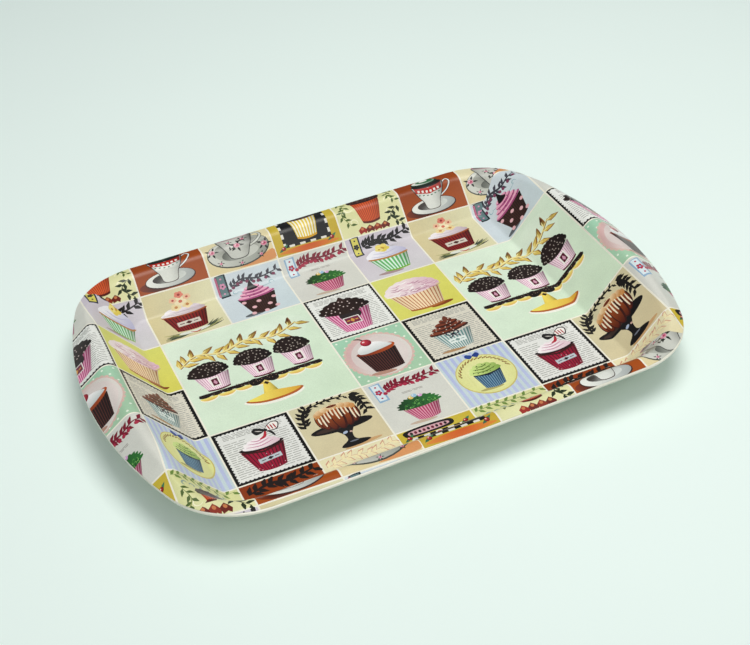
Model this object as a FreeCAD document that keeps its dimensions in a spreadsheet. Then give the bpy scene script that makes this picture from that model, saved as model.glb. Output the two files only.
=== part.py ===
import FreeCAD, Part
import math
import os

import Sketcher
from FreeCAD import Vector

# A moulded serving tray with an all-over printed foil pressed into its upper face.
# X runs along the tray from handle end to handle end, Y across it and Z up. The
# origin is the centre of the footprint, on the surface that the tray stands on.

DIMENSIONS = [
    # alias, millimetres or degrees, what it is
    ("floor_length", 326.0, "flat floor, fold to fold, along X"),
    ("floor_width", 232.0, "flat floor, fold to fold, along Y"),
    ("floor_corner", 12.0, "corner radius of the floor fold"),
    ("floor_bow", 60000.0, "radius of the floor's ends, as good as straight"),
    ("crest_length", 406.0, "crest corner over the handle ends, along X"),
    ("crest_width", 286.8, "crest corner over the long sides, along Y"),
    ("crest_corner", 54.0, "corner radius of the crest"),
    ("crest_bow", 707.0, "radius of the bowed handle crests"),
    ("crest_side_height", 28.5, "crest corner above the floor, long sides"),
    ("crest_end_rise", 18.0, "how much higher the crest stands at the handles"),
    ("edge_length", 450.0, "top of the edge lip, along X"),
    ("edge_width", 307.8, "top of the edge lip, along Y"),
    ("edge_corner", 62.6, "corner radius of the edge"),
    ("edge_bow", 313.0, "radius of the bowed handle edges"),
    ("edge_side_height", 27.1, "edge above the floor, long sides"),
    ("edge_end_rise", 2.2, "how much higher the edge stands at the handles"),
    ("edge_rise_start", 110.0, "distance from the centre where the edge starts to rise"),
    ("fold_round", 2.4, "length that the floor fold takes from each face"),
    ("crest_round_side", 4.6, "length that the crest takes from the side wall"),
    ("crest_round_end", 10.0, "length that the crest takes from the end wall"),
    ("wall_thickness", 3.0, "floor and walls"),
    ("lip_thickness", 2.4, "flange at its rounded edge"),
    ("foil_thickness", 0.3, "printed foil"),
    ("foot_height", 2.0, "foot rim below the floor"),
    ("foot_width", 5.0, "foot rim, across its flat face"),
    ("foot_length_out", 308.0, "foot rim, outer length"),
    ("foot_width_out", 214.0, "foot rim, outer width"),
    ("foot_corner", 14.0, "outer corner radius of the foot rim"),
    ("foot_sink", 1.0, "how far the foot rim reaches into the floor"),
]

SIDE_STEPS = 8      # spans along half a long side
CORNER_STEPS = 9    # spans around a corner
END_STEPS = 8       # spans along half a handle end
FOLD_SPANS = 3      # spans across the floor fold
CREST_SPANS = 7     # spans across the rounded crest
LIP_SPANS = 6       # spans around the half-round lip


def make_sheet(doc):
    """The spreadsheet that holds the driving dimensions."""
    sheet = doc.addObject("Spreadsheet::Sheet", "dimensions")
    for row, (alias, value, meaning) in enumerate(DIMENSIONS, start=1):
        sheet.set(f"A{row}", meaning)
        sheet.set(f"B{row}", str(value))
        sheet.setAlias(f"B{row}", alias)
    doc.recompute()
    return sheet


# ---------------------------------------------------------------- plan outlines

def quarter_plan(half_length, half_width, corner_radius, end_radius):
    """A quarter of an outline, from the middle of a long side to the middle of an end.

    The long side is straight, the end is a wide arc, and a corner arc joins them
    tangentially. The last point, in the middle of the end, is included.
    """
    end_centre = half_length - end_radius
    corner_y = half_width - corner_radius
    reach = end_radius - corner_radius
    corner_x = end_centre + math.sqrt(reach ** 2 - corner_y ** 2)
    turn = math.asin(corner_y / reach)
    points = [(corner_x * step / SIDE_STEPS, half_width) for step in range(SIDE_STEPS)]
    for step in range(CORNER_STEPS):
        angle = math.pi / 2 + (turn - math.pi / 2) * step / CORNER_STEPS
        points.append((corner_x + corner_radius * math.cos(angle),
                       corner_y + corner_radius * math.sin(angle)))
    for step in range(END_STEPS + 1):
        angle = turn * (1 - step / END_STEPS)
        points.append((end_centre + end_radius * math.cos(angle), end_radius * math.sin(angle)))
    return points


def fold_quarter(sheet):
    """The fold between the floor and the walls, at floor level."""
    plan = quarter_plan(sheet.floor_length / 2, sheet.floor_width / 2,
                        sheet.floor_corner, sheet.floor_bow)
    return [Vector(x, y, 0) for x, y in plan]


def crest_quarter(sheet):
    """The corner between wall and flange: level along the sides, arched over the handles."""
    half_width = sheet.crest_width / 2
    plan = quarter_plan(sheet.crest_length / 2, half_width, sheet.crest_corner, sheet.crest_bow)
    points = []
    for x, y in plan:
        arch = math.cos(math.pi / 2 * (y / half_width) ** 2) ** 2
        points.append(Vector(x, y, sheet.crest_side_height + sheet.crest_end_rise * arch))
    return points


def edge_quarter(sheet):
    """The outer end of the flange's upper face, which rises a little towards the handles."""
    half_length = sheet.edge_length / 2
    plan = quarter_plan(half_length, sheet.edge_width / 2, sheet.edge_corner, sheet.edge_bow)
    points = []
    for x, y in plan:
        along = max(0.0, (x - sheet.edge_rise_start) / (half_length - sheet.edge_rise_start))
        points.append(Vector(x, y, sheet.edge_side_height + sheet.edge_end_rise * along ** 1.3))
    return points


# --------------------------------------------------------------- cross-sections

def unit(vector):
    return vector / vector.Length


def upward(direction):
    """The normal on the upper side of a section line, in the plane of distance and height."""
    return Vector(-direction.y, direction.x, 0)


def bend(before, corner, after, spans):
    """Points of the smooth bend from before to after, drawn towards the corner."""
    points = []
    for step in range(spans + 1):
        share = step / spans
        points.append(before * (1 - share) ** 2 + corner * (2 * share * (1 - share)) + after * share ** 2)
    return points


class Section:
    """One cross-section of the tray, from the floor over the crest to the edge.

    It is worked out flat, as distance from the fold (x) and height above the floor
    (y), and each of its points is then carried back to its place on the tray.
    """

    def __init__(self, fold, crest, edge, sheet):
        self.fold, self.crest, self.edge = fold, crest, edge
        self.wall_run = math.hypot(crest.x - fold.x, crest.y - fold.y)
        self.flange_run = math.hypot(edge.x - crest.x, edge.y - crest.y)
        self.corners = [Vector(0, 0, 0), Vector(self.wall_run, crest.z, 0),
                        Vector(self.wall_run + self.flange_run, edge.z, 0)]
        self.wall = unit(self.corners[1] - self.corners[0])
        self.flange = unit(self.corners[2] - self.corners[1])
        rise = (crest.z - sheet.crest_side_height) / sheet.crest_end_rise
        wide = sheet.crest_round_end * rise + sheet.crest_round_side * (1 - rise)
        self.crest_round = min(wide, 0.6 * (self.corners[2] - self.corners[1]).Length)
        self.fold_round = sheet.fold_round

    def face(self, offset, edge_offset):
        """The section line at a distance above the upper face, or below it if negative."""
        floor = Vector(1, 0, 0)
        normals = [upward(floor), upward(self.wall), upward(self.flange)]
        fold = self.corners[0] + (normals[0] + normals[1]) * (offset / (1 + normals[0].dot(normals[1])))
        crest = self.corners[1] + (normals[1] + normals[2]) * (offset / (1 + normals[1].dot(normals[2])))
        edge = self.corners[2] + normals[2] * edge_offset
        flange = unit(edge - crest)
        near_fold = bend(fold - floor * self.fold_round, fold, fold + self.wall * self.fold_round, FOLD_SPANS)
        near_crest = bend(crest - self.wall * self.crest_round, crest,
                          crest + flange * self.crest_round, CREST_SPANS)
        return near_fold + near_crest + [edge]

    def lip(self, thickness):
        """The half-round lip, from the upper to the lower end of the flange's edge."""
        normal = upward(self.flange)
        centre = self.corners[2] - normal * (thickness / 2)
        points = []
        for step in range(1, LIP_SPANS):
            angle = math.pi / 2 - math.pi * step / LIP_SPANS
            points.append(centre + (self.flange * math.cos(angle) + normal * math.sin(angle)) * (thickness / 2))
        return points

    def place(self, point, base):
        """Carry a flat section point back onto the tray, whose floor lies at height base."""
        if point.x <= self.wall_run:
            start, end, share = self.fold, self.crest, point.x / self.wall_run
        else:
            start, end, share = self.crest, self.edge, (point.x - self.wall_run) / self.flange_run
        return Vector(start.x + (end.x - start.x) * share, start.y + (end.y - start.y) * share, base + point.y)


def sections_of(sheet):
    """The sections of a quarter of the tray."""
    quarters = zip(fold_quarter(sheet), crest_quarter(sheet), edge_quarter(sheet))
    return [Section(fold, crest, edge, sheet) for fold, crest, edge in quarters]


# ----------------------------------------------------------------------- solids

def ring(quarter):
    """A closed smooth curve through a quarter's points and their mirror images."""
    back = [Vector(p.x, -p.y, p.z) for p in reversed(quarter[:-1])]
    right = quarter + back
    left = [Vector(-p.x, p.y, p.z) for p in reversed(right[1:-1])]
    curve = Part.BSplineCurve()
    curve.interpolate(Points=right + left, PeriodicFlag=True)
    return Part.Wire([curve.toShape()])


def skin(sections, outline, base):
    """A solid through the rings that an outline function gives for every section.

    The first and last rings are flat, and close the solid as the two faces of the floor.
    """
    lines = [[section.place(point, base) for point in outline(section)] for section in sections]
    rings = [ring(list(quarter)) for quarter in zip(*lines)]
    return Part.makeLoft(rings, True, True)


def shell_shape(sheet):
    """The moulded shell: floor, walls, rolled crest, flange and half-round lip."""
    def outline(section):
        upper = section.face(0, 0)
        lower = section.face(-sheet.wall_thickness, -sheet.lip_thickness)
        return upper + section.lip(sheet.lip_thickness) + lower[::-1]

    return skin(sections_of(sheet), outline, sheet.foot_height + sheet.wall_thickness)


def foil_shape(sheet):
    """The printed foil: it covers the shell's whole upper face and stops where the lip starts."""
    def outline(section):
        return section.face(0, 0) + section.face(sheet.foil_thickness, sheet.foil_thickness)[::-1]

    return skin(sections_of(sheet), outline, sheet.foot_height + sheet.wall_thickness)


def add_feature(doc, name, shape):
    """A part whose double-curved rim no sketch or primitive gives."""
    feature = doc.addObject("Part::Feature", name)
    feature.Label = name
    feature.Shape = shape
    feature.Placement = FreeCAD.Placement()
    return feature


# ---------------------------------------------------------------- moulded foot rim

def rounded_rectangle(sketch, name, length, width, radius):
    """A centred rounded rectangle whose three sizes are bound to expressions."""
    half, depth, bend_radius = 50.0, 30.0, 5.0
    flat_x, flat_y = half - bend_radius, depth - bend_radius
    straight = [((-flat_x, -depth), (flat_x, -depth)), ((half, -flat_y), (half, flat_y)),
                ((flat_x, depth), (-flat_x, depth)), ((-half, flat_y), (-half, -flat_y))]
    centres = [(flat_x, -flat_y), (flat_x, flat_y), (-flat_x, flat_y), (-flat_x, -flat_y)]
    lines = [sketch.addGeometry(Part.LineSegment(Vector(*start, 0), Vector(*end, 0)), False)
             for start, end in straight]
    arcs = []
    for index, centre in enumerate(centres):
        circle = Part.Circle(Vector(*centre, 0), Vector(0, 0, 1), bend_radius)
        start = math.radians(-90 + 90 * index)
        arcs.append(sketch.addGeometry(Part.ArcOfCircle(circle, start, start + math.pi / 2), False))
    for index, arc in enumerate(arcs):
        sketch.addConstraint(Sketcher.Constraint("Tangent", lines[index], 2, arc, 1))
        sketch.addConstraint(Sketcher.Constraint("Tangent", arc, 2, lines[(index + 1) % 4], 1))
    for other in arcs[1:]:
        sketch.addConstraint(Sketcher.Constraint("Equal", arcs[0], other))
    sketch.addConstraint(Sketcher.Constraint("Horizontal", lines[0]))
    sketch.addConstraint(Sketcher.Constraint("Vertical", lines[1]))
    sketch.addConstraint(Sketcher.Constraint("Horizontal", lines[2]))
    sketch.addConstraint(Sketcher.Constraint("Vertical", lines[3]))
    sketch.addConstraint(Sketcher.Constraint("Symmetric", arcs[0], 3, arcs[2], 3, -1, 1))
    sizes = [("length", "DistanceX", (lines[3], 1, lines[1], 1), 2 * half, length),
             ("width", "DistanceY", (lines[0], 1, lines[2], 1), 2 * depth, width),
             ("radius", "Radius", (arcs[0],), bend_radius, radius)]
    for size, kind, places, start, expression in sizes:
        index = sketch.addConstraint(Sketcher.Constraint(kind, *places, start))
        sketch.renameConstraint(index, f"{name}_{size}")
        sketch.setExpression(f"Constraints.{name}_{size}", expression)


def foot_rim(doc):
    """The rim under the floor that the tray stands on, with a flat face on the ground."""
    body = doc.addObject("PartDesign::Body", "foot_rim")
    sketch = body.newObject("Sketcher::SketchObject", "foot_rim_outline")
    ground = next(plane for plane in body.Origin.OriginFeatures if plane.Role == "XY_Plane")
    sketch.AttachmentSupport = [(ground, "")]
    sketch.MapMode = "FlatFace"
    rounded_rectangle(sketch, "outer", "dimensions.foot_length_out", "dimensions.foot_width_out",
                      "dimensions.foot_corner")
    rounded_rectangle(sketch, "inner", "dimensions.foot_length_out - 2 * dimensions.foot_width",
                      "dimensions.foot_width_out - 2 * dimensions.foot_width",
                      "dimensions.foot_corner - dimensions.foot_width")
    pad = body.newObject("PartDesign::Pad", "foot_rim_pad")
    pad.Profile = sketch
    pad.setExpression("Length", "dimensions.foot_height + dimensions.foot_sink")
    return body


def tray_body(doc, sheet):
    """The moulded tray in one piece: the shell with its foot rim."""
    shell = add_feature(doc, "moulded_shell", shell_shape(sheet))
    rim = foot_rim(doc)
    doc.recompute()
    fused = doc.addObject("Part::Fuse", "tray_body")
    fused.Base = shell
    fused.Tool = rim
    fused.Label = "tray_body"
    fused.Placement = FreeCAD.Placement()
    return fused


def printed_foil(doc, sheet):
    """The decorated foil on the tray's upper face."""
    return add_feature(doc, "printed_foil", foil_shape(sheet))


def check(doc, parts):
    """Stop before anything is written if an object failed or a part isn't a valid solid."""
    for thing in doc.Objects:
        if "Invalid" in thing.State or "Error" in thing.State:
            raise RuntimeError(f"{thing.Name} failed: {thing.State}")
    for part in parts:
        if part.Shape.isNull() or not part.Shape.isValid() or not part.Shape.Solids:
            raise RuntimeError(f"{part.Label} has no valid solid")


def main():
    doc = FreeCAD.newDocument("serving_tray")
    sheet = make_sheet(doc)
    parts = [tray_body(doc, sheet), printed_foil(doc, sheet)]
    doc.recompute()
    check(doc, parts)
    os.makedirs("parts", exist_ok=True)
    for part in parts:
        part.Shape.exportStep(f"parts/{part.Label}.step")
        box = part.Shape.BoundBox
        print(f"{part.Label}: {len(part.Shape.Solids)} solid, {part.Shape.Volume / 1000:.1f} cm3, "
              f"{box.XLength:.1f} x {box.YLength:.1f} x {box.ZLength:.1f} mm, bottom {box.ZMin:.2f}")


main()
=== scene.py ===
import math
import random
from bisect import bisect_right

import bpy
from mathutils import Matrix, Vector
from mathutils.bvhtree import BVHTree
from mathutils.geometry import barycentric_transform, delaunay_2d_cdt


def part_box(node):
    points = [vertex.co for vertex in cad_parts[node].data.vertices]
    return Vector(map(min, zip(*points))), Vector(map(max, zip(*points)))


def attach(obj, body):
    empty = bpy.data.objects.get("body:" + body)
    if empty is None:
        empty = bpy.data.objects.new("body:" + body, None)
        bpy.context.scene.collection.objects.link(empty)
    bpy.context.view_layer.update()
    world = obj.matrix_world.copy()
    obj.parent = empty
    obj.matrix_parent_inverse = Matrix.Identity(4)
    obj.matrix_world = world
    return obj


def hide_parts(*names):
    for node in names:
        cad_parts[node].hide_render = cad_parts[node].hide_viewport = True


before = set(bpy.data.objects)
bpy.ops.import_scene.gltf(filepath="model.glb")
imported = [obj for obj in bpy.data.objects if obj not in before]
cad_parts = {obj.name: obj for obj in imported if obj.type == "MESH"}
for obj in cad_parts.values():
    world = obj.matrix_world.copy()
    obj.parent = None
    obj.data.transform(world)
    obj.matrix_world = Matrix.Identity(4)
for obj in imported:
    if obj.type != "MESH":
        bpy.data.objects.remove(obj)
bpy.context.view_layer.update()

MM = 0.001
FOIL_LOW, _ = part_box("printed_foil")

# ------------------------------------------------------------------ the tray's surface
# The foil's upper face, with the CAD model's own sizes, in millimetres. Heights are
# above the foil's underside on the floor; the frame gives the place of everything.

FLOOR_LENGTH, FLOOR_WIDTH, FLOOR_CORNER, FLOOR_BOW = 326.0, 232.0, 12.0, 60000.0
CREST_LENGTH, CREST_WIDTH, CREST_CORNER, CREST_BOW = 406.0, 286.8, 54.0, 707.0
CREST_SIDE_HEIGHT, CREST_END_RISE = 28.5, 18.0
EDGE_LENGTH, EDGE_WIDTH, EDGE_CORNER, EDGE_BOW = 450.0, 307.8, 62.6, 313.0
EDGE_SIDE_HEIGHT, EDGE_END_RISE, EDGE_RISE_START = 27.1, 2.2, 110.0
FOLD_ROUND, CREST_ROUND_SIDE, CREST_ROUND_END = 2.4, 4.6, 10.0
FOIL_THICKNESS = 0.3

EDGE_RISE_POWER = 1.3                    # how the edge's rise gathers towards its corners
LONGEST_BEND = 0.6                       # share of the flange that the crest's bend may take

SIDE_STEPS, CORNER_STEPS, END_STEPS = 14, 32, 18
MITRE = SIDE_STEPS + CORNER_STEPS // 2
FOLD_SPANS, CREST_SPANS = 4, 8


def quarter_plan(length, width, corner_radius, end_radius):
    """Plan points of a quarter outline, from the middle of a long side to the middle of an end."""
    end_centre = length / 2 - end_radius
    corner_y = width / 2 - corner_radius
    reach = end_radius - corner_radius
    corner_x = end_centre + math.sqrt(reach ** 2 - corner_y ** 2)
    turn = math.asin(corner_y / reach)
    points = [(corner_x * step / SIDE_STEPS, width / 2) for step in range(SIDE_STEPS)]
    for step in range(CORNER_STEPS):
        angle = math.pi / 2 + (turn - math.pi / 2) * step / CORNER_STEPS
        points.append((corner_x + corner_radius * math.cos(angle),
                       corner_y + corner_radius * math.sin(angle)))
    for step in range(END_STEPS + 1):
        angle = turn * (1 - step / END_STEPS)
        points.append((end_centre + end_radius * math.cos(angle), end_radius * math.sin(angle)))
    return points


def fold_points():
    """The fold round the floor."""
    plan = quarter_plan(FLOOR_LENGTH, FLOOR_WIDTH, FLOOR_CORNER, FLOOR_BOW)
    return [Vector((x, y, 0)) for x, y in plan]


def crest_points():
    """The corner line of the crest, which arches over the handle ends."""
    points = []
    for x, y in quarter_plan(CREST_LENGTH, CREST_WIDTH, CREST_CORNER, CREST_BOW):
        arch = math.cos(math.pi / 2 * (2 * y / CREST_WIDTH) ** 2) ** 2
        points.append(Vector((x, y, CREST_SIDE_HEIGHT + CREST_END_RISE * arch)))
    return points


def edge_points():
    """The top of the outer edge."""
    points = []
    for x, y in quarter_plan(EDGE_LENGTH, EDGE_WIDTH, EDGE_CORNER, EDGE_BOW):
        along = max(0.0, (x - EDGE_RISE_START) / (EDGE_LENGTH / 2 - EDGE_RISE_START))
        points.append(Vector((x, y, EDGE_SIDE_HEIGHT + EDGE_END_RISE * along ** EDGE_RISE_POWER)))
    return points


def bend(before, corner, after, spans):
    """Points of the smooth bend from before to after, drawn towards the corner."""
    shares = [step / spans for step in range(spans + 1)]
    return [before * (1 - s) ** 2 + corner * (2 * s * (1 - s)) + after * s ** 2 for s in shares]


def section_points(fold, crest, edge, offset):
    """One section of the upper face, from the floor over the crest to the edge."""
    wall_run = (crest - fold).xy.length
    flange_run = (edge - crest).xy.length
    corners = [Vector((0, 0)), Vector((wall_run, crest.z)), Vector((wall_run + flange_run, edge.z))]
    along = [Vector((1, 0)), (corners[1] - corners[0]).normalized(), (corners[2] - corners[1]).normalized()]
    above = [Vector((-line.y, line.x)) for line in along]
    rise = (crest.z - CREST_SIDE_HEIGHT) / CREST_END_RISE
    crest_round = min(CREST_ROUND_END * rise + CREST_ROUND_SIDE * (1 - rise),
                      LONGEST_BEND * (corners[2] - corners[1]).length)
    low = corners[0] + (above[0] + above[1]) * (offset / (1 + above[0].dot(above[1])))
    high = corners[1] + (above[1] + above[2]) * (offset / (1 + above[1].dot(above[2])))
    end = corners[2] + above[2] * offset
    flat = bend(low - along[0] * FOLD_ROUND, low, low + along[1] * FOLD_ROUND, FOLD_SPANS)
    flat += bend(high - along[1] * crest_round, high, high + along[2] * crest_round, CREST_SPANS)
    flat.append(end)
    points = []
    for distance, height in flat:
        if distance <= wall_run:
            start, stop, share = fold, crest, distance / wall_run
        else:
            start, stop, share = crest, edge, (distance - wall_run) / flange_run
        plan = start.xy + (stop.xy - start.xy) * share
        points.append(Vector((plan.x, plan.y, height)))
    return points


def closed_sections(offset):
    """All sections round the tray, clockwise from the middle of the far long side."""
    lines = [section_points(*trio, offset) for trio in zip(fold_points(), crest_points(), edge_points())]
    right = lines + [[Vector((p.x, -p.y, p.z)) for p in line] for line in reversed(lines[:-1])]
    left = [[Vector((-p.x, p.y, p.z)) for p in line] for line in reversed(right[1:-1])]
    return right + left


def travelled(ring):
    """The shares of a closed ring's length that lie before its points, and 1 for the whole."""
    lengths = [0.0]
    for before, after in zip(ring, ring[1:] + ring[:1]):
        lengths.append(lengths[-1] + (after - before).length)
    return [length / lengths[-1] for length in lengths]


def spot_at(ring, shares, share):
    """The point of a ring at a share of its length."""
    index = bisect_right(shares, share) - 1
    part = (share - shares[index]) / (shares[index + 1] - shares[index])
    return ring[index].lerp(ring[(index + 1) % len(ring)], part)


def surface(offset):
    """The face as lines from floor to edge, which join its rings at equal shares of their lengths."""
    rings = [list(ring) for ring in zip(*closed_sections(offset))]
    shares = [travelled(ring) for ring in rings]
    wanted = [(low + high) / 2 for low, high in zip(shares[0], shares[FOLD_SPANS + CREST_SPANS // 2 + 1])]
    return [[spot_at(ring, before, share) for ring, before in zip(rings, shares)] for share in wanted[:-1]]


def heading(before, here, after):
    """The direction of a curve at its middle point of three."""
    first, second = here - before, after - here
    return first * (second.length / first.length) + second * (first.length / second.length)


def surface_normals(lines):
    """Smooth upward normals of the face's points."""
    normals = []
    for index, line in enumerate(lines):
        before, after = lines[index - 1], lines[(index + 1) % len(lines)]
        row = [Vector((0, 0, 1))]
        for step in range(1, len(line)):
            outward = line[step] - line[step - 1]
            if step + 1 < len(line):
                outward = heading(line[step - 1], line[step], line[step + 1])
            normal = outward.cross(heading(before[step], line[step], after[step])).normalized()
            row.append(normal if normal.z > 0 else -normal)
        normals.append(row)
    return normals


RING = surface(FOIL_THICKNESS)
NORMALS = surface_normals(RING)
QUARTER = SIDE_STEPS + CORNER_STEPS + END_STEPS


def on_tray(point):
    """A surface point in metres, in the row frame."""
    return Vector((point.x * MM, point.y * MM, FOIL_LOW.z + point.z * MM))


# ---------------------------------------------------------------- the unfolded sheet
# The print is one flat sheet. On the floor it lies as it is, and each wall takes the
# part beyond its own fold, so a wedge of the sheet is lost in a pleat at each corner.

END_GAIN, FAR_GAIN, NEAR_GAIN = 0.96, 1.16, 0.96     # print length per length of wall
TOUCH = 0.01                                         # millimetres that count as touching


class Wall:
    """A stretch of the ring whose part of the sheet unfolds about one side of the floor.

    Beyond the fold the sheet runs on along one axis, 0 for x or 1 for y, by the length of
    the wall times the gain.
    """

    def __init__(self, indices, axis, gain):
        self.indices = indices
        self.sheet = [self.unfold(RING[index], axis, gain) for index in indices]
        self.triangles = self.make_triangles()
        flat = [point for row in self.sheet for point in row]
        self.tree = BVHTree.FromPolygons(flat, [[self.flat(n) for n in tri] for tri in self.triangles])

    @staticmethod
    def unfold(line, axis, gain):
        """The places in the sheet of a line that runs from the fold to the edge."""
        grown = 0.0
        row = [Vector((line[0].x, line[0].y, 0))]
        for before, after in zip(line, line[1:]):
            step = after - before
            grown += math.hypot(step[axis], step.z) * gain
            spot = Vector((after.x, after.y, 0))
            spot[axis] = line[0][axis] + math.copysign(grown, line[0][axis])
            row.append(spot)
        return row

    def flat(self, node):
        return node[0] * len(self.sheet[0]) + node[1]

    def make_triangles(self):
        triangles = []
        for row in range(len(self.sheet) - 1):
            for step in range(len(self.sheet[0]) - 1):
                a, b, c, d = (row, step), (row, step + 1), (row + 1, step + 1), (row + 1, step)
                triangles += [(a, b, c), (a, c, d)]
        return triangles

    def holds(self, point):
        return self.tree.find_nearest(point, TOUCH)[0] is not None

    def carry(self, point):
        """The place and normal on the tray of a point of the flat sheet."""
        _, _, index, _ = self.tree.find_nearest(point)
        nodes = self.triangles[index]
        flat = [self.sheet[row][step] for row, step in nodes]
        solid = [RING[self.indices[row]][step] for row, step in nodes]
        tilt = [NORMALS[self.indices[row]][step] for row, step in nodes]
        return (barycentric_transform(point, *flat, *solid),
                barycentric_transform(point, *flat, *tilt).normalized())

    def lines(self):
        """The lines in the sheet that the cut pieces must follow to keep to the curves."""
        rings = [[row[step] for row in self.sheet] for step in range(len(self.sheet[0]))]
        return rings + [self.sheet[0], self.sheet[-1]]


def walls():
    """The four walls: two ends and two long sides, divided at the middle of each corner."""
    count = len(RING)
    right = list(range(MITRE, 2 * QUARTER - MITRE + 1))
    near = list(range(2 * QUARTER - MITRE, 2 * QUARTER + MITRE + 1))
    left = list(range(2 * QUARTER + MITRE, count - MITRE + 1))
    far = [index % count for index in range(count - MITRE, count + MITRE + 1)]
    return [Wall(right, 0, END_GAIN), Wall(near, 1, NEAR_GAIN),
            Wall(left, 0, END_GAIN), Wall(far, 1, FAR_GAIN)]


class Floor:
    """The flat floor, where the sheet lies as it is."""

    def __init__(self):
        self.rim = [line[0].xy for line in RING]

    def holds(self, point):
        """Whether the rim, which is convex and runs clockwise, goes round the point."""
        ends = zip(self.rim, self.rim[1:] + self.rim[:1])
        return all((b - a).cross(point.xy - a) < TOUCH for a, b in ends)

    def carry(self, point):
        return Vector((point.x, point.y, FOIL_THICKNESS)), Vector((0, 0, 1))


WALLS = walls()
REGIONS = [Floor()] + WALLS
CURVE_LINES = [line for wall in WALLS for line in wall.lines()]

# ------------------------------------------------------------------- the print's grid
# Panels are counted from the sheet's upper left, in columns to the right and rows
# downwards. The sheet lies slightly turned on the tray.

PANEL_WIDTH, PANEL_HEIGHT = 60.0, 59.5
GRID_LEFT, GRID_TOP = -206.6, 200.1
ROW_FALL, COLUMN_LEAN = -1.9, -1.3       # drift of a row per column, and of a column per row
GRID_LINE = 0.011                        # half the width of the pale line, in panels


def to_sheet(column, row):
    """The point of the sheet at a column and row."""
    return Vector((GRID_LEFT + PANEL_WIDTH * column + COLUMN_LEAN * row,
                   GRID_TOP + ROW_FALL * column - PANEL_HEIGHT * row))


def from_sheet(point):
    """Column and row of a point of the sheet."""
    x, y = point[0] - GRID_LEFT, point[1] - GRID_TOP
    spread = -PANEL_WIDTH * PANEL_HEIGHT - COLUMN_LEAN * ROW_FALL
    return ((-PANEL_HEIGHT * x - COLUMN_LEAN * y) / spread, (PANEL_WIDTH * y - ROW_FALL * x) / spread)


# ------------------------------------------------------------------ paints and drawing

def colour(code):
    """Linear colour of a six-digit code."""
    shares = [int(code[at:at + 2], 16) / 255 for at in (0, 2, 4)]
    return tuple(s / 12.92 if s <= 0.04045 else ((s + 0.055) / 1.055) ** 2.4 for s in shares)


def mix(first, second, share):
    """The colour a share of the way from the first to the second."""
    share = min(max(share, 0.0), 1.0)
    return tuple(a + (b - a) * share for a, b in zip(first, second))


def plain(code):
    """A paint of one colour. A paint gives the colour at a place in the panel."""
    shade = colour(code)
    return lambda x, y: shade


def fade(first, second, start, stop):
    """A paint that runs from one colour at start to another at stop."""
    shades = colour(first), colour(second)
    way = Vector(stop) - Vector(start)

    def paint(x, y):
        return mix(*shades, (Vector((x, y)) - Vector(start)).dot(way) / way.length_squared)
    return paint


def glow(first, second, centre, radius):
    """A paint that runs from one colour at a centre to another at a radius."""
    shades = colour(first), colour(second)

    def paint(x, y):
        return mix(*shades, (Vector((x, y)) - Vector(centre)).length / radius)
    return paint


def as_paint(paint):
    return plain(paint) if isinstance(paint, str) else paint


def smooth(points, steps, closed=False):
    """A rounded line through the given points."""
    count = len(points)
    spots = [Vector(p) for p in points]
    result = []
    for index in range(count if closed else count - 1):
        near = range(index - 1, index + 3)
        a, b, c, d = (spots[k % count if closed else min(max(k, 0), count - 1)] for k in near)
        for step in range(steps):
            s = step / steps
            result.append(0.5 * (2 * b + (c - a) * s + (2 * a - 5 * b + 4 * c - d) * s ** 2
                                 + (3 * b - a - 3 * c + d) * s ** 3))
    return result if closed else result + [spots[-1]]


class Art:
    """The drawing on one panel. Shapes lie from back to front, in panel widths from its upper left."""

    def __init__(self, ground, columns=1, rows=1):
        self.columns, self.rows = columns, rows
        self.shapes = []
        self.box(0, 0, columns, rows, "f2efdf")
        self.box(GRID_LINE, GRID_LINE, columns - GRID_LINE, rows - GRID_LINE, ground)

    def shape(self, points, paint):
        self.shapes.append(([(p[0], p[1]) for p in points], as_paint(paint)))

    def box(self, left, top, right, bottom, paint):
        self.shape([(left, top), (right, top), (right, bottom), (left, bottom)], paint)

    def ellipse(self, x, y, wide, high, paint, turn=0.0, steps=20, sweep=360.0):
        """An ellipse, or with a sweep of 180 degrees its lower half."""
        lean = math.radians(turn)
        points = []
        for step in range(steps + (sweep < 360)):
            angle = math.radians(sweep * step / steps)
            across, along = wide * math.cos(angle), high * math.sin(angle)
            points.append((x + across * math.cos(lean) - along * math.sin(lean),
                           y + across * math.sin(lean) + along * math.cos(lean)))
        self.shape(points, paint)

    def blob(self, points, paint):
        self.shape(smooth(points, steps=4, closed=True), paint)

    def stroke(self, points, width, paint, taper=0.3, steps=4):
        """A brush stroke along a rounded line, thinner at both ends."""
        spots = smooth(points, steps=steps)
        last = len(spots) - 1
        sides = []
        for index, spot in enumerate(spots):
            way = (spots[min(index + 1, last)] - spots[max(index - 1, 0)]).normalized()
            share = math.sin(math.pi * index / last) if last else 1.0
            half = Vector((-way.y, way.x)) * (width / 2 * (taper + (1 - taper) * share))
            sides.append((spot + half, spot - half))
        for (a, b), (c, d) in zip(sides, sides[1:]):
            self.shape([a, c, d, b], paint)


# --------------------------------------------------------------- what the panels share

def rounded(code, x, half, depth=0.5):
    """A paint for a round thing of given middle and half width, lit from the upper left."""
    shade = colour(code)

    def paint(px, py):
        light = 1.06 - depth * min(abs((px - x) / half + 0.2), 1.2) ** 2
        return tuple(s * light for s in shade)
    return paint


def hatching(art, left, top, right, bottom, rows, seed, ink="9fa09a"):
    """Rows of fine grey dashes, close together."""
    chance = random.Random(seed)
    for row in range(rows):
        y = top + (bottom - top) * row / rows
        x = left
        while x < right - 0.03:
            run = min(chance.uniform(0.05, 0.16), right - x)
            art.box(x, y, x + run, y + 0.011, ink)
            x += run + chance.uniform(0.01, 0.025)


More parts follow.
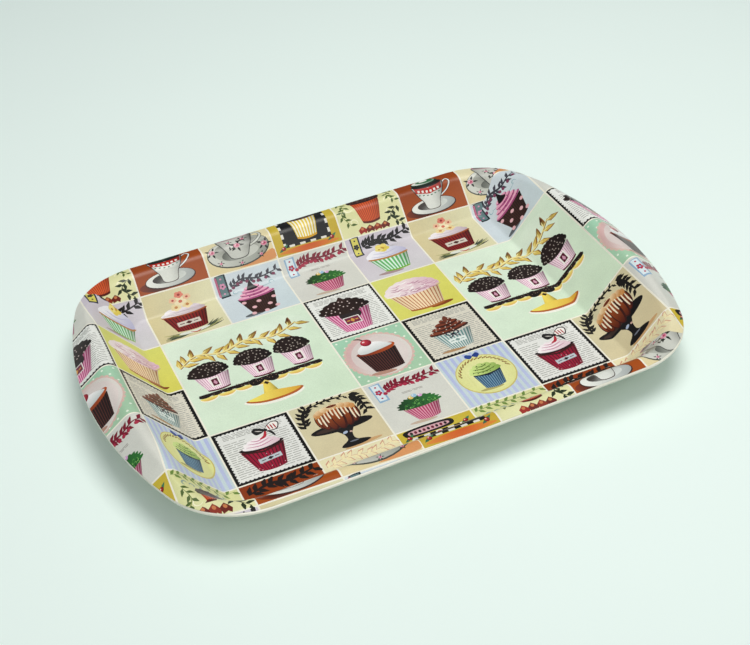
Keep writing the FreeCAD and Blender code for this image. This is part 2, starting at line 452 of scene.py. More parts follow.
def stamp(paper, seed, inset=0.048):
    """A panel like a torn stamp: a black edge, bitten paper and hatched columns."""
    ink, teeth, bite = "080707", 17, 0.014
    art = Art(ink)
    art.box(inset, inset, 1 - inset, 1 - inset, paper)
    for tooth in range(teeth):
        along = inset + (1 - 2 * inset) * (tooth + 0.5) / teeth
        for x, y in ((along, inset), (along, 1 - inset), (inset, along), (1 - inset, along)):
            art.ellipse(x, y, bite, bite, ink, steps=8)
    hatching(art, 0.12, 0.085, 0.88, 0.19, 4, seed)
    hatching(art, 0.09, 0.24, 0.37, 0.92, 18, seed + 1)
    hatching(art, 0.63, 0.24, 0.91, 0.92, 18, seed + 2)
    return art


def case(art, upper, lower, base, stripe, count, fill, sag=0.04, depth=0.5, foot=None):
    """A pleated paper case between two bowed lines, each given as left, right and height.

    Stripes run down its pleats, and foot is the colour of a narrow band along its bottom.
    """
    middle, half = (upper[0] + upper[1]) / 2, (upper[1] - upper[0]) / 2
    foot_top = 0.91

    def spot(share, down):
        left = upper[0] + (lower[0] - upper[0]) * down
        right = upper[1] + (lower[1] - upper[1]) * down
        bow = sag * (1 - 0.3 * down) * (1 - (2 * share - 1) ** 2)
        return left + (right - left) * share, upper[2] + (lower[2] - upper[2]) * down + bow

    def strip(start, stop, paint, above=0.0, steps=1):
        shares = [start + (stop - start) * step / steps for step in range(steps + 1)]
        art.shape([spot(s, above) for s in shares] + [spot(s, 1.0) for s in reversed(shares)], paint)

    strip(0.0, 1.0, rounded(base, middle, half, depth), steps=12)
    for index in range(count):
        start = (index + 0.5 - fill / 2) / count
        strip(start, start + fill / count, rounded(stripe, middle, half, depth))
    if foot:
        strip(0.0, 1.0, foot, above=foot_top, steps=12)


def dome(art, left, right, base, top, paint, seed, lumps=9, rough=0.05, sag=0.04):
    """A pointed dome over a bowed base line, with a lumpy outline."""
    chance = random.Random(seed)
    steps, base_steps = lumps * 4, 8
    points = []
    for step in range(steps + 1):
        angle = math.pi * (1 - step / steps)
        reach = top[0] - left if math.cos(angle) < 0 else right - top[0]
        bump = 1 + rough * abs(math.sin(lumps * angle)) + chance.uniform(-0.3, 0.3) * rough
        points.append((top[0] + reach * bump * math.cos(angle),
                       base - (base - top[1]) * bump * math.sin(angle)))
    for step in range(1, base_steps):
        share = step / base_steps
        points.append((right + (left - right) * share, base + sag * (1 - (2 * share - 1) ** 2)))
    art.shape(points, paint)


def dots(art, left, right, base, top, count, size, paint, seed):
    """Small crumbs strewn evenly over a dome."""
    chance = random.Random(seed)
    placed = []

    def room(spot):
        return min([(spot - other).length for other in placed] or [1.0])

    while len(placed) < count:
        tries = []
        for _ in range(8):
            across, up = chance.uniform(-0.9, 0.9), chance.uniform(0.02, 0.9)
            if across ** 2 + up ** 2 < 0.8:
                reach = top[0] - left if across < 0 else right - top[0]
                tries.append(Vector((top[0] + across * reach, base - up * (base - top[1]))))
        if tries:
            placed.append(max(tries, key=room))
    for spot in placed:
        art.ellipse(spot.x, spot.y, size, size * 0.75, paint, turn=chance.uniform(0, 180), steps=5)


def rolls(art, rows, light, deep, turn):
    """Rolls of piped icing, each given as left, right, height and half thickness."""
    for left, right, y, high in rows:
        middle, half = (left + right) / 2, (right - left) / 2
        art.ellipse(middle, y, half, high, deep, turn, steps=16)
        art.ellipse(middle - half * 0.04, y - high * 0.3, half * 0.95, high * 0.74, light, turn, steps=16)
        art.stroke([(middle - half * 0.6, y - high * 0.5), (middle - half * 0.1, y - high * 0.15),
                    (middle + half * 0.5, y - high * 0.45)], high * 0.3, deep, taper=0.2, steps=3)


def leaf(art, x, y, length, angle, paint, fat=0.4):
    """A pointed leaf that grows from a place at an angle."""
    way = Vector((math.cos(angle), math.sin(angle))) * length
    side = Vector((-way.y, way.x)) * fat / 2
    start = Vector((x, y))
    art.shape([start, start + way * 0.3 + side, start + way * 0.7 + side * 0.6, start + way,
               start + way * 0.45 - side], paint)


def garland(art, points, stem, leaves, count, size, width=0.014, berries=None, fat=0.45):
    """A leafy twig along a rounded line, with leaves to both sides and berries between."""
    art.stroke(points, width, stem)
    spots = smooth(points, steps=8)
    for index in range(count):
        at = int((index + 0.5) / count * (len(spots) - 1))
        way = spots[min(at + 1, len(spots) - 1)] - spots[max(at - 1, 0)]
        angle = math.atan2(way.y, way.x) + (0.85 if index % 2 else -0.85)
        leaf(art, *spots[at], size, angle, leaves, fat)
        if berries and index % 2 == 0:
            art.ellipse(spots[at].x - 0.2 * size, spots[at].y + 0.45 * size, size * 0.24, size * 0.24,
                        berries, steps=8)


def scroll(art, x, y, size, start, turn, width, paint):
    """A curl that winds in on itself from an open end."""
    steps, wound = 8, 0.78
    points = []
    for step in range(steps + 1):
        angle = start + turn * step / steps
        reach = size * (1 - wound * step / steps)
        points.append((x + reach * math.cos(angle), y + reach * math.sin(angle)))
    art.stroke(points, width, paint, steps=3)


def rose(art, x, y, size, petal, heart):
    """A small round rose among dark leaves."""
    for angle in (0.1, 1.3, 2.4, 3.6, 5.2):
        across, along = size * 0.5 * math.cos(angle), size * 0.5 * math.sin(angle)
        leaf(art, x + across, y + along, size * 1.3, angle, "1b1f18", 0.42)
    art.ellipse(x, y, size * 0.7, size * 0.62, petal, steps=10)
    art.ellipse(x + size * 0.1, y, size * 0.34, size * 0.3, heart, steps=8)
    art.ellipse(x - size * 0.2, y - size * 0.2, size * 0.2, size * 0.14, "f7e3e2", steps=6)


def daisy(art, x, y, size, petal, heart):
    """A flower of five petals round a heart."""
    for index in range(5):
        angle = 0.3 + 2 * math.pi * index / 5
        across, along = 0.55 * size * math.cos(angle), 0.45 * size * math.sin(angle)
        art.ellipse(x + across, y + along, 0.5 * size, 0.42 * size, petal, steps=8)
    art.ellipse(x, y, 0.34 * size, 0.3 * size, heart, steps=8)


def tile(art, x, y, wide, high, edge, face, mark):
    """A small framed tile with a flower between two dots."""
    art.shape([(x, y + 0.02), (x + wide, y), (x + wide, y + high), (x + 0.01, y + high + 0.01)], edge)
    inset = wide * 0.16
    art.box(x + inset, y + inset, x + wide - inset, y + high - inset, face)
    middle_x, middle_y = x + wide / 2, y + high / 2
    for index in range(5):
        angle = 2 * math.pi * (index + 0.25) / 5
        art.ellipse(middle_x + wide * 0.19 * math.cos(angle), middle_y + wide * 0.22 * math.sin(angle),
                    wide * 0.13, wide * 0.14, mark, steps=8)
    art.ellipse(middle_x, middle_y, wide * 0.09, wide * 0.09, edge, steps=8)
    for side in (-1, 1):
        art.ellipse(middle_x, middle_y + side * high * 0.31, wide * 0.1, wide * 0.1, mark, steps=8)


def label(art, x, y, wide, high, paper, mark, turn=0.0, frame_colour=None):
    """A small pasted label with a lozenge between two lines."""

    def spot(across, down, grow=0.0):
        return x + across * (wide + grow), y + down * (high + grow) + turn * across * wide

    corners = ((-0.5, -0.5), (0.5, -0.5), (0.5, 0.5), (-0.5, 0.5))
    if frame_colour:
        art.shape([spot(*corner, 0.03) for corner in corners], frame_colour)
    art.shape([spot(*corner) for corner in corners], paper)
    art.shape([spot(-0.15, 0), spot(0, -0.36), spot(0.15, 0), spot(0, 0.36)], mark)
    for left, right in ((-0.4, -0.2), (0.2, 0.4)):
        art.shape([spot(left, -0.08), spot(right, -0.08), spot(right, 0.08), spot(left, 0.08)], mark)


def cup(art, middle, outline, handle, shades, drop):
    """A cup's handle, drawn as two strokes of a colour and a width, and its body over a darker one."""
    handle_back, handle_face, back, face = shades
    for paint, width in (handle_back, handle_face):
        art.stroke(handle, width, paint, taper=0.8)
    art.blob([(middle + (x - middle) * 1.05, y + drop) for x, y in outline], back)
    art.blob(outline, rounded(face, middle, 0.24, 0.6))


def waves(art, x, rows, width, paint):
    """Sagging lines across the icing, each given as height and half width."""
    for y, half in rows:
        art.stroke([(x - half, y - 0.01), (x, y + 0.02), (x + half, y - 0.02)], width, paint)


# ----------------------------------------------------------------------- the panels

def muffin_panel():
    """A terracotta muffin between leafy sprigs on pale yellow."""
    art = Art(fade("d6d898", "e6e5b0", (0, 0), (0.3, 1)))
    garland(art, [(0.04, 0.08), (0.3, 0.05), (0.6, 0.08), (0.96, 0.04)], "8d9a6a", "6d8a3e", 16, 0.1)
    for index in range(7):
        y = 0.19 + 0.015 * math.sin(2.0 * index)
        scroll(art, 0.18 + 0.1 * index, y, 0.05, 2.0 + index, 4.4, 0.026, "93a79b")
    for x, y, turn in ((0.2, 0.5, 4.0), (0.8, 0.52, -4.0), (0.22, 0.76, -4.2), (0.8, 0.7, 4.2)):
        scroll(art, x, y, 0.08, 0.6, turn, 0.016, "f6f2cf")
    garland(art, [(0.1, 0.26), (0.16, 0.45), (0.09, 0.6), (0.19, 0.8)], "7d8c3c", "4c6326", 13, 0.1)
    garland(art, [(0.92, 0.26), (0.85, 0.42), (0.93, 0.56)], "7d8c3c", "475f24", 9, 0.09)
    garland(art, [(0.93, 0.66), (0.8, 0.8), (0.95, 0.97)], "26300f", "1f2f11", 10, 0.12)
    case(art, (0.27, 0.72, 0.38), (0.37, 0.63, 0.81), "d65a28", "9c3416", 12, 0.35, foot="571409")
    art.ellipse(0.495, 0.36, 0.25, 0.085, "2c1413", turn=-2)
    dome(art, 0.25, 0.74, 0.36, (0.5, 0.2), rounded("3a1f1a", 0.5, 0.25), lumps=7, rough=0.06, seed=2)
    dots(art, 0.27, 0.72, 0.38, (0.5, 0.22), 14, 0.011, "8b6a58", 3)
    for index, shade in enumerate(("9c2418", "6a1a0e", "8c2c18", "6a1a0e")):
        x = 0.325 + 0.118 * index
        leaf(art, x - 0.047, 0.985, 0.14, -1.2, shade, 0.6)
        leaf(art, x + 0.047, 0.985, 0.14, -1.94, shade, 0.6)
        art.ellipse(x, 0.9, 0.024, 0.024, "c97a4a", steps=7)
    return art


def coffee_panel():
    """A white cup with a red band and a green and white top on its saucer, on terracotta."""
    art = Art(fade("863000", "a54a04", (0, 0), (0.3, 1)))
    garland(art, [(0.08, 0.18), (0.35, 0.1), (0.62, 0.14), (0.92, 0.08)], "1a0e0a", "1a0e0a", 18, 0.15, 0.05)
    art.ellipse(0.27, 0.9, 0.24, 0.085, glow("2c0c04", "7d2d0a", (0.27, 0.9), 0.24), turn=4)
    art.ellipse(0.48, 0.835, 0.36, 0.142, "3d1a0f", steps=28)
    art.ellipse(0.48, 0.828, 0.345, 0.128, fade("eceee6", "a3aaa9", (0.25, 0.72), (0.8, 0.92)), steps=28)
    art.ellipse(0.47, 0.81, 0.24, 0.082, fade("3f3a36", "d3d8d2", (0.4, 0.74), (0.55, 0.89)), steps=20)
    outline = [(0.25, 0.42), (0.48, 0.47), (0.71, 0.42), (0.68, 0.6), (0.61, 0.74), (0.58, 0.86),
               (0.48, 0.885), (0.39, 0.86), (0.36, 0.74), (0.29, 0.6)]
    handle = [(0.68, 0.52), (0.78, 0.43), (0.83, 0.49), (0.76, 0.61), (0.63, 0.7)]
    cup(art, 0.48, outline, handle, (("3d211a", 0.036), ("e6e9e6", 0.02), "33170f", "dfe2da"), drop=0.01)
    art.shape([(0.255, 0.45), (0.48, 0.51), (0.705, 0.45), (0.685, 0.57), (0.48, 0.62), (0.275, 0.57)],
              rounded("b8220e", 0.48, 0.24))
    for index in range(6):
        x = 0.32 + 0.062 * index
        y = 0.59 - abs(x - 0.48) * 0.22
        art.box(x - 0.015, y - 0.028, x + 0.018, y + 0.012, "f0ede6")
        art.ellipse(x, y + 0.06, 0.017, 0.01, "2f6b4c", steps=6)
    art.ellipse(0.48, 0.43, 0.24, 0.075, "0f0a09", turn=-2)
    art.ellipse(0.47, 0.37, 0.215, 0.08, "16301f", turn=-2)
    art.ellipse(0.47, 0.34, 0.185, 0.07, fade("dfe7dc", "64896f", (0.36, 0.3), (0.65, 0.4)), turn=-2)
    art.blob([(0.35, 0.335), (0.41, 0.29), (0.49, 0.315), (0.59, 0.275), (0.62, 0.345), (0.49, 0.385)],
             "2f6b42")
    art.ellipse(0.48, 0.305, 0.07, 0.025, "f4f6ee", turn=-3, steps=10)
    return art


def teacup_panel():
    """A pale grey floral teacup on a wide saucer, on cream."""
    art = Art(fade("e8e0b8", "e3d09c", (0.4, 0.2), (0.6, 1.1)))
    for shift, paint, size in ((0.0, "cf9a80", 0.135), (0.006, "efe3b4", 0.11)):
        line = [(0.06 + shift, 0.17 + shift), (0.35, 0.1 + shift), (0.65, 0.15 + shift),
                (0.94, 0.08 + shift)]
        garland(art, line, paint, paint, 18, size, 0.02)
    art.blob([(0.45, 0.97), (0.7, 0.92), (0.97, 0.8), (0.97, 0.97)], "d9955c")
    art.ellipse(0.5, 0.685, 0.455, 0.27, "42463f", -2, 30)
    art.ellipse(0.5, 0.675, 0.442, 0.257, fade("d5d7cd", "8b9086", (0.2, 0.55), (0.95, 0.8)), -2, 30)
    art.ellipse(0.5, 0.65, 0.35, 0.19, glow("141513", "b9bcb1", (0.5, 0.5), 0.4), -2, 24)
    art.ellipse(0.52, 0.73, 0.27, 0.11, fade("5a5e57", "c9ccc2", (0.3, 0.66), (0.6, 0.82)), -2, 24)
    outline = [(0.26, 0.33), (0.5, 0.38), (0.74, 0.33), (0.72, 0.52), (0.66, 0.68), (0.61, 0.79),
               (0.5, 0.815), (0.39, 0.79), (0.34, 0.68), (0.28, 0.52)]
    handle = [(0.68, 0.45), (0.83, 0.39), (0.87, 0.5), (0.79, 0.6), (0.66, 0.66)]
    cup(art, 0.5, outline, handle, (("4c5048", 0.05), ("cdd0c6", 0.03), "30332e", "c9cbc2"), drop=0.012)
    art.ellipse(0.5, 0.34, 0.25, 0.075, "b8718a", turn=-2)
    art.ellipse(0.5, 0.34, 0.228, 0.062, fade("6d7269", "dedbd2", (0.3, 0.3), (0.7, 0.4)), turn=-2)
    garland(art, [(0.38, 0.66), (0.5, 0.58), (0.6, 0.46)], "23281f", "1b1f18", 7, 0.07)
    for x, y, size in ((0.5, 0.6, 0.065), (0.4, 0.5, 0.035), (0.61, 0.48, 0.045), (0.13, 0.62, 0.06),
                       (0.88, 0.68, 0.065), (0.21, 0.83, 0.03), (0.8, 0.84, 0.035), (0.5, 0.9, 0.03)):
        rose(art, x, y, size, "dd8fa6", "b3405f")
    return art


def beaded_bar(art):
    """A black bar with a row of dark beads on its pink inlay."""
    art.blob([(0.12, 0.02), (0.4, 0.0), (0.68, 0.02), (0.74, 0.08), (0.68, 0.14), (0.4, 0.15), (0.14, 0.14),
              (0.08, 0.08)], "120e0e")
    art.blob([(0.16, 0.05), (0.4, 0.035), (0.64, 0.05), (0.68, 0.085), (0.62, 0.11), (0.4, 0.12),
              (0.17, 0.11)], "d9a9b0")
    for index in range(9):
        art.ellipse(0.18 + 0.056 * index, 0.08, 0.02, 0.026, "6e1c33" if index % 2 else "251a1d", steps=8)


def checkered_square(art, left, top, right, bottom, edge, checks):
    """A black square inside an edge of light and black checks."""
    art.box(left, top, right, bottom, "e6e4da")
    for index in range(checks):
        share, wide = index / checks, (right - left) / checks
        start = left + (right - left) * share
        y = top if index % 2 else bottom - edge
        art.box(start, y, start + wide, y + edge, "060607")
        start = top + (bottom - top) * share
        x = left if index % 2 else right - edge
        art.box(x, start, x + edge, start + wide, "060607")
    # The black inside lightens slightly to blue-grey towards the upper right: a painted reflection.
    art.box(left + edge, top + edge, right - edge, bottom - edge,
            fade("010101", "101215", (0.2, 0.8), (0.8, 0.3)))


def cherry(art, x, y):
    """A cherry between two leaves."""
    leaf(art, x, y, 0.09, -0.7, "3f7a55", 0.5)
    leaf(art, x, y, 0.09, 2.6, "2f6446", 0.5)
    art.ellipse(x, y, 0.034, 0.034, glow("c8342a", "6d0c0d", (x - 0.01, y - 0.01), 0.04), steps=12)
    art.ellipse(x - 0.011, y - 0.012, 0.01, 0.01, "f7d9cf", steps=6)


def checker_panel():
    """A yellow case on a black square with a checkered edge and cherries, on ochre."""
    art = Art(glow("d4c246", "c4a62c", (0.5, 0.2), 0.9))
    art.blob([(0.06, 0.95), (0.2, 0.9), (0.5, 0.885), (0.8, 0.9), (0.95, 0.95), (0.5, 0.99)],
             glow("cf4f1c", "d9862a", (0.5, 0.92), 0.4))
    beaded_bar(art)
    checkered_square(art, 0.14, 0.16, 0.86, 0.87, edge=0.036, checks=9)
    dome(art, 0.29, 0.76, 0.4, (0.52, 0.22), rounded("33211f", 0.5, 0.24), lumps=6, rough=0.08, seed=5)
    for y, half in ((0.36, 0.2), (0.3, 0.15)):
        art.stroke([(0.52 - half, y), (0.52, y + 0.035), (0.52 + half, y - 0.01)], 0.018, "6d524c")
    case(art, (0.32, 0.73, 0.37), (0.37, 0.66, 0.77), "e8ca48", "fffce8", 8, 0.45, depth=0.4, foot="d9a21c")
    art.ellipse(0.5, 0.21, 0.035, 0.035, "b3241d", steps=10)
    for x, y in ((0.13, 0.15), (0.87, 0.15), (0.13, 0.87), (0.86, 0.88)):
        cherry(art, x, y)
    return art


def lilac_panel():
    """A green case with white icing and a yellow ornament, on lavender."""
    art = Art(fade("cdc4d0", "d6d3d6", (0, 0.1), (0.4, 1)))
    tile(art, 0.08, -0.02 + GRID_LINE, 0.14, 0.36, "16233c", "d9cf62", "1a1c22")
    garland(art, [(0.24, 0.2), (0.42, 0.13), (0.66, 0.17), (0.97, 0.07)], "141214", "181617", 20, 0.14, 0.04)
    art.ellipse(0.38, 0.91, 0.19, 0.03, "a9908f", turn=2)
    case(art, (0.22, 0.79, 0.53), (0.32, 0.69, 0.87), "62b268", "dcf5e2", 9, 0.46, foot="7fb32e")
    art.blob([(0.2, 0.52), (0.3, 0.56), (0.5, 0.58), (0.72, 0.56), (0.81, 0.52), (0.7, 0.47), (0.3, 0.47)],
             "b57f45")
    icing = fade("f3f3f8", "b5b4d2", (0.35, 0.34), (0.8, 0.56))
    dome(art, 0.2, 0.8, 0.5, (0.5, 0.3), icing, lumps=5, rough=0.04, seed=3)
    art.stroke([(0.27, 0.47), (0.5, 0.52), (0.75, 0.46)], 0.022, "c5c3dd")
    art.stroke([(0.33, 0.4), (0.5, 0.44), (0.7, 0.39)], 0.02, "c5c3dd")
    daisy(art, 0.5, 0.31, 0.11, "e6d060", "c39a3c")
    daisy(art, 0.45, 0.33, 0.06, "efe08a", "c39a3c")
    return art


def plate_panel():
    """A deep red case with a label and flowers on its icing, standing on a brushed plate."""
    art = Art(fade("d6c99a", "e0dcb4", (0, 0.5), (0.9, 0.4)))
    strands = random.Random(6)
    for index in range(26):
        side = -1 if index % 2 else 1
        start = Vector((0.52 + side * strands.uniform(0.0, 0.12), 0.9 + strands.uniform(-0.02, 0.04)))
        stop = Vector((0.52 + side * strands.uniform(0.28, 0.43),
                       0.86 + strands.uniform(-0.06, 0.07) - 0.04 * side))
        shade = strands.choice(("1c2620", "4b5540", "7b8352", "2c3a33", "a6a565"))
        art.stroke([start, (start + stop) / 2 + Vector((0, 0.015)), stop], 0.02, shade, taper=0.2, steps=2)
    art.blob([(0.29, 0.9), (0.36, 0.87), (0.52, 0.88), (0.66, 0.86), (0.73, 0.88), (0.62, 0.92), (0.4, 0.93)],
             "e2e6da")
    art.stroke([(0.45, 0.9), (0.53, 0.93), (0.6, 0.9)], 0.02, "b8443a")
    case(art, (0.2, 0.81, 0.46), (0.3, 0.72, 0.83), "8c191a", "4c0c10", count=13, fill=0.4)
    art.blob([(0.18, 0.45), (0.3, 0.49), (0.5, 0.51), (0.72, 0.49), (0.83, 0.45), (0.7, 0.42), (0.3, 0.42)],
             "9a4a22")
    label(art, 0.5, 0.68, 0.32, 0.1, "d8cfc2", "4a1c1c", turn=-0.02)
    icing = fade("f3edf0", "bcaab4", (0.3, 0.33), (0.8, 0.5))
    dome(art, 0.2, 0.8, 0.44, (0.5, 0.3), icing, lumps=6, rough=0.07, seed=12)
    art.stroke([(0.27, 0.42), (0.5, 0.46), (0.76, 0.42)], 0.018, "cdbcc6")
    art.stroke([(0.32, 0.37), (0.5, 0.4), (0.7, 0.36)], 0.014, "cdbcc6")
    for flower in ((0.43, 0.31, 0.075, "eedba4", "c98a4a"), (0.59, 0.3, 0.075, "ecd69c", "c4813f"),
                   (0.51, 0.23, 0.085, "f3e4bb", "cf6a4f"), (0.41, 0.19, 0.055, "ecc09a", "b5403a"),
                   (0.61, 0.18, 0.055, "ecc09a", "b5403a"), (0.51, 0.12, 0.065, "e0806a", "96211f")):
        daisy(art, *flower)
    return art


def spotted_panel():
    """A brown case with pink spots under pink icing, on pale blue."""
    art = Art(fade("d3dce2", "cbdadd", (0, 0), (1, 1)))
    tile(art, 0.055, -0.02 + GRID_LINE, 0.15, 0.4, "14242a", "5d7a7d", "d48fae")
    art.box(0.045, 0.03, 0.075, 0.36, "b9607f")
    art.stroke([(0.3, 0.34), (0.4, 0.37), (0.52, 0.34), (0.66, 0.37), (0.8, 0.34)], 0.016, "8fb6bd")
    for x, turn in ((0.27, 4.4), (0.8, -4.4)):
        scroll(art, x, 0.33, 0.05, 0.2, turn, 0.014, "8fb6bd")
    garland(art, [(0.24, 0.24), (0.42, 0.15), (0.66, 0.2), (0.95, 0.14)], "33343c", "3d3e48", 18, 0.11,
            0.028, "7b3a55")
    art.ellipse(0.36, 0.93, 0.15, 0.035, "5d6469", turn=-4)
    case(art, (0.24, 0.78, 0.53), (0.34, 0.68, 0.91), "2c1815", "46291f", count=14, fill=0.3)
    for x, y in ((0.3, 0.63), (0.5, 0.67), (0.72, 0.66), (0.4, 0.78), (0.62, 0.79), (0.35, 0.91),
                 (0.53, 0.92), (0.7, 0.87)):
        art.ellipse(x, y, 0.034, 0.031, "e7b6bb", steps=12)
    rolls(art, ((0.25, 0.79, 0.52, 0.06), (0.3, 0.74, 0.45, 0.055), (0.35, 0.68, 0.385, 0.05),
                (0.4, 0.63, 0.33, 0.04)), "ecaac2", "aa4e80", turn=-4)
    dots(art, 0.28, 0.76, 0.53, (0.5, 0.3), 11, 0.012, "3a1428", 8)
    art.blob([(0.44, 0.36), (0.46, 0.3), (0.51, 0.21), (0.55, 0.29), (0.6, 0.35), (0.52, 0.38)], "120c0e")
    return art


def grass_panel():
    """A pink case with green icing like grass and small eggs, on warm grey."""
    art = Art(fade("d5d6cf", "d9dad0", (0, 0), (0.6, 1)))
    tile(art, 0.07, 0.03, 0.15, 0.36, "8fb0cc", "dbe8ec", "b0284a")
    garland(art, [(0.24, 0.2), (0.42, 0.13), (0.66, 0.16), (0.96, 0.11)], "74122c", "7d142c", 20, 0.125,
            0.032, "a82845")
    hatching(art, 0.4, 0.33, 0.68, 0.37, 2, 5, "a5a29b")
    art.ellipse(0.42, 0.93, 0.18, 0.025, "c4b09c", turn=3)
    case(art, (0.27, 0.76, 0.63), (0.38, 0.67, 0.89), "b24468", "e4a8ba", count=12, fill=0.35)
    icing = fade("18401f", "2f7433", (0.3, 0.6), (0.75, 0.58))
    dome(art, 0.24, 0.78, 0.64, (0.5, 0.47), icing, lumps=13, rough=0.12, seed=4)
    blades = random.Random(11)
    for index in range(46):
        across, up = blades.uniform(-0.95, 0.95), blades.uniform(0.0, 0.9)
        x, y = 0.51 + 0.25 * across, 0.65 - 0.16 * up * math.sqrt(1 - across ** 2)
        shade = blades.choice(("173f1f", "2f7330", "5aa04a", "7fbf62"))
        scroll(art, x, y, 0.022, blades.uniform(0, 6), 3.6, 0.011, shade)
    for x, y, wide, shade in ((0.46, 0.47, 0.035, "dfc069"), (0.51, 0.45, 0.036, "9cc3dc"),
                              (0.58, 0.475, 0.03, "d6a3cf")):
        art.ellipse(x, y, wide, wide * 0.95, shade, steps=12)
        art.ellipse(x - 0.01, y - 0.012, wide * 0.35, wide * 0.3, "f2f4ee", steps=6)
    return art


def lemon_panel():
    """A cream case with orange stripes and a wide pink whirl of icing, on lemon yellow."""
    art = Art(fade("dbde79", "ddd860", (0.2, 0), (0.8, 1)))
    art.ellipse(0.68, 0.895, 0.17, 0.035, fade("8f4417", "7d3c14", (0.6, 0.9), (0.9, 0.95)), turn=-6)
    case(art, (0.1, 0.82, 0.47), (0.24, 0.72, 0.88), "f4dcb4", "b8683a", 13, 0.3, depth=0.35, foot="b06a30")
    icing = fade("f4e6e6", "dab3c0", (0.25, 0.25), (0.8, 0.5))
    dome(art, 0.06, 0.85, 0.44, (0.46, 0.17), icing, lumps=9, rough=0.04, sag=0.09, seed=13)
    whirl = random.Random(21)
    for index in range(44):
        share = math.sqrt((index + 0.5) / 44)
        y = 0.18 + 0.29 * share
        half = 0.07 + 0.32 * share
        across = whirl.uniform(-1, 1)
        x = 0.455 + half * across
        bow = 0.05 * (1 - across ** 2)
        reach = whirl.uniform(0.04, 0.1)
        shade = ("fdf8f4", "cf9fb2", "f0d8dc", "b9859c")[index % 4]
        line = [(x - reach, y + bow - 0.02), (x, y + bow), (x + reach, y + bow - 0.028)]
        art.stroke(line, 0.018, shade, steps=2)
    return art


def sprinkle_stamp():
    """A stamp with a dark sprinkled dome in a pink striped case."""
    art = stamp("eceee8", 20, inset=0.036)
    case(art, (0.15, 0.79, 0.44), (0.28, 0.66, 0.88), "c04a80", "f2b6cf", count=14, fill=0.45)
    art.blob([(0.34, 0.48), (0.48, 0.46), (0.62, 0.48), (0.6, 0.62), (0.36, 0.63)], "2b2224")
    dome(art, 0.11, 0.8, 0.42, (0.48, 0.18), rounded("281814", 0.46, 0.36), rough=0.07, sag=0.09, seed=9)
    art.blob([(0.42, 0.22), (0.48, 0.12), (0.54, 0.22), (0.48, 0.26)], "34221d")
    dots(art, 0.13, 0.78, 0.47, (0.48, 0.18), 23, 0.0135, "dcc9c4", 10)
    label(art, 0.46, 0.67, 0.2, 0.13, "7a2a44", "d9a24a", frame_colour="f1efe8")
    return art


def bow_stamp():
    """A stamp with pointed brown icing in a pale teal case with a small bow."""
    art = stamp("dcd8c8", 30)
    art.ellipse(0.36, 0.88, 0.17, 0.025, "b08a62", turn=2)
    case(art, (0.24, 0.77, 0.5), (0.34, 0.66, 0.84), "66928e", "d6dcd8", count=11, fill=0.5)
    rolls(art, ((0.2, 0.79, 0.46, 0.06), (0.27, 0.74, 0.39, 0.055), (0.35, 0.69, 0.32, 0.05),
                (0.44, 0.63, 0.26, 0.04)), "7c3a24", "3a160d", turn=-5)
    art.blob([(0.49, 0.27), (0.55, 0.16), (0.6, 0.25), (0.55, 0.29)], "6b3423")
    dots(art, 0.22, 0.77, 0.5, (0.54, 0.2), 22, 0.011, "dccfc0", 12)
    for side in (-1, 1):
        art.stroke([(0.5, 0.555), (0.5 + side * 0.055, 0.51), (0.5 + side * 0.09, 0.545),
                    (0.5 + side * 0.05, 0.575), (0.5, 0.56)], 0.021, "3c3440", taper=0.6)
        art.stroke([(0.5, 0.56), (0.5 + side * 0.03, 0.61), (0.5 + side * 0.08, 0.63)], 0.021, "3c3440", 0.5)
    art.ellipse(0.5, 0.558, 0.02, 0.02, "241d26", steps=8)
    label(art, 0.5, 0.7, 0.24, 0.09, "e3ece6", "7c9a96")
    return art


def ribbon_stamp():
    """A stamp with pale pink icing and a striped ribbon in a crimson case."""
    art = stamp("e6e7e2", 40)
    case(art, (0.23, 0.78, 0.46), (0.34, 0.68, 0.86), "9c1234", "4c0a1c", count=11, fill=0.3)
    art.blob([(0.22, 0.44), (0.34, 0.5), (0.5, 0.52), (0.67, 0.5), (0.79, 0.44), (0.68, 0.41), (0.32, 0.41)],
             "1f0c0c")
    art.shape([(0.24, 0.47), (0.5, 0.54), (0.77, 0.47), (0.76, 0.5), (0.5, 0.57), (0.25, 0.5)], "3a1210")
    icing = fade("fbf6f6", "dfc0ca", (0.3, 0.3), (0.75, 0.5))
    dome(art, 0.29, 0.73, 0.45, (0.5, 0.3), icing, lumps=8, rough=0.1, seed=14)
    for y, half in ((0.42, 0.17), (0.37, 0.14), (0.33, 0.09)):
        waves(art, 0.5, ((y, half),), 0.016, "c98ca6")
        art.stroke([(0.5 - half, y - 0.03), (0.48, y), (0.5 + half * 0.8, y - 0.035)], 0.014, "fbf1f3")
    art.stroke([(0.64, 0.2), (0.6, 0.3), (0.53, 0.33)], 0.04, "b72a38")
    art.stroke([(0.64, 0.2), (0.7, 0.27), (0.72, 0.35)], 0.034, "1d1d1d")
    art.blob([(0.64, 0.2), (0.54, 0.12), (0.48, 0.16), (0.52, 0.25)], "1d1d1d")
    art.stroke([(0.52, 0.17), (0.6, 0.21)], 0.016, "d9d4cc", steps=2)
    art.blob([(0.635, 0.2), (0.74, 0.085), (0.835, 0.12), (0.78, 0.245)], "33262b")
    art.blob([(0.64, 0.2), (0.74, 0.1), (0.82, 0.13), (0.77, 0.23)], "f3efe8")
    for index in range(3):
        x = 0.69 + 0.038 * index
        art.stroke([(x, 0.13), (x + 0.01, 0.22)], 0.018, "a81f2e", taper=0.7, steps=2)
    art.ellipse(0.64, 0.2, 0.03, 0.026, "1d1d1d", steps=10)
    label(art, 0.53, 0.69, 0.29, 0.075, "bfc9cf", "1c1016", turn=-0.1)
    dots(art, 0.32, 0.72, 0.86, (0.5, 0.55), 12, 0.008, "e8c3cc", 16)
    return art


